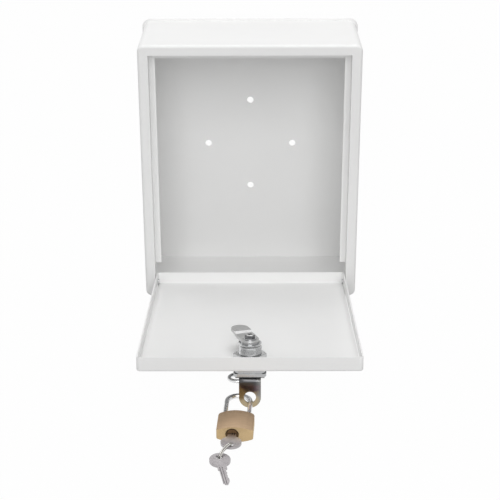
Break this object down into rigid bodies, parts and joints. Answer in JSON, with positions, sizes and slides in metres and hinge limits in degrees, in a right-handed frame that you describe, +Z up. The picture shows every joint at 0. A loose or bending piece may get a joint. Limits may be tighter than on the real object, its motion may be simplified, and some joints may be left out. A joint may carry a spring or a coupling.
{
  "type": "donation box",
  "caption": "White sheet-metal donation box with a bottom-hinged tray door, a cam latch with a padlock tab, and an open brass padlock with keys.",
  "frame": {"origin": "centre of the case's footprint, on the table under the box", "axes": "+Z up, +Y towards the back plate and the wall, +X to the right as seen from the front"},
  "size_m": [0.2084, 0.4182, 0.2522],
  "materials": {
    "powder_white": "fine textured powder coat",
    "zinc": "bright zinc",
    "cam_zinc": "satin zinc",
    "gasket_rubber": "matt",
    "chrome": "polished",
    "brass": "satin brushed",
    "plug_brass": "turned",
    "hard_steel": "polished",
    "nickel": "nickel plated, stamped"
  },
  "bodies": {
    "box": {"case": "powder_white", "back_plate": "powder_white", "stop_left": "powder_white", "stop_right": "powder_white", "stop_top": "powder_white", "hinge_pin_left": "zinc", "hinge_pin_right": "zinc"},
    "door": {"door": "powder_white", "latch_gasket": "gasket_rubber", "latch_housing": "chrome", "latch_tab": "chrome", "latch_nut": "zinc"},
    "latch_cam": {"latch_spindle": "chrome", "stop_washer": "zinc", "cam_spacer": "zinc", "cam": "cam_zinc", "cam_washer": "zinc", "cam_screw": "zinc"},
    "ring": {"turn_ring": "chrome"},
    "shackle": {"shackle": "hard_steel"},
    "padlock": {"padlock_body": "brass"},
    "bolt": {"locking_bolt": "plug_brass"},
    "plug": {"key_plug": "plug_brass"},
    "key": {"key": "nickel"},
    "link": {"key_link": "zinc"},
    "spare_key": {"spare_key": "nickel"}
  },
  "joints": [
    {"name": "door_hinge", "type": "hinge", "parent": "box", "child": "door", "pos_m": [0, -0.0425, 0.0136], "axis": [1, 0, 0], "range_deg": [-82.5, 0]},
    {"name": "cam_turn", "type": "hinge", "parent": "door", "child": "latch_cam", "pos_m": [0, -0.24098, 0.03519], "axis": [0, 0.1305, 0.9914], "range_deg": [-180, 0]},
    {"name": "ring_fold", "type": "hinge", "parent": "latch_cam", "child": "ring", "pos_m": [0, -0.24299, 0.01992], "axis": [0, -0.9914, 0.1305], "range_deg": [0, 63]},
    {"name": "padlock_swing", "type": "hinge", "parent": "door", "child": "shackle", "pos_m": [-0.0055, -0.25702, 0.00675], "axis": [0, 0, 1], "range_deg": [-100, 10]},
    {"name": "shackle_slide", "type": "slide", "parent": "shackle", "child": "padlock", "axis": [0.0523, 0.9986, 0], "range_m": [0, 0.011]},
    {"name": "plug_turn", "type": "hinge", "parent": "padlock", "child": "plug", "pos_m": [-0.01394, -0.31089, 0.00675], "axis": [0.0523, 0.9986, 0], "range_deg": [0, 90]},
    {"name": "bolt_slide", "type": "slide", "parent": "padlock", "child": "bolt", "axis": [0.9986, -0.0523, 0], "range_m": [0, 0.0017]},
    {"name": "key_slide", "type": "slide", "parent": "plug", "child": "key", "axis": [-0.0523, -0.9986, 0], "range_m": [0, 0.022]},
    {"name": "link_swing", "type": "hinge", "parent": "key", "child": "link", "pos_m": [-0.01472, -0.32587, 0.00675], "axis": [0, 0, 1], "range_deg": [-20, 40]},
    {"name": "spare_key_swing", "type": "hinge", "parent": "link", "child": "spare_key", "pos_m": [-0.02345, -0.3388, 0.00356], "axis": [0.0145, -0.0682, 0.9976], "range_deg": [-30, 30]}
  ],
  "couplings": [
    {"joint": "ring_fold", "follows": "cam_turn", "ratio": -0.35},
    {"joint": "bolt_slide", "follows": "plug_turn", "m_per_rad": 0.001082}
  ]
}
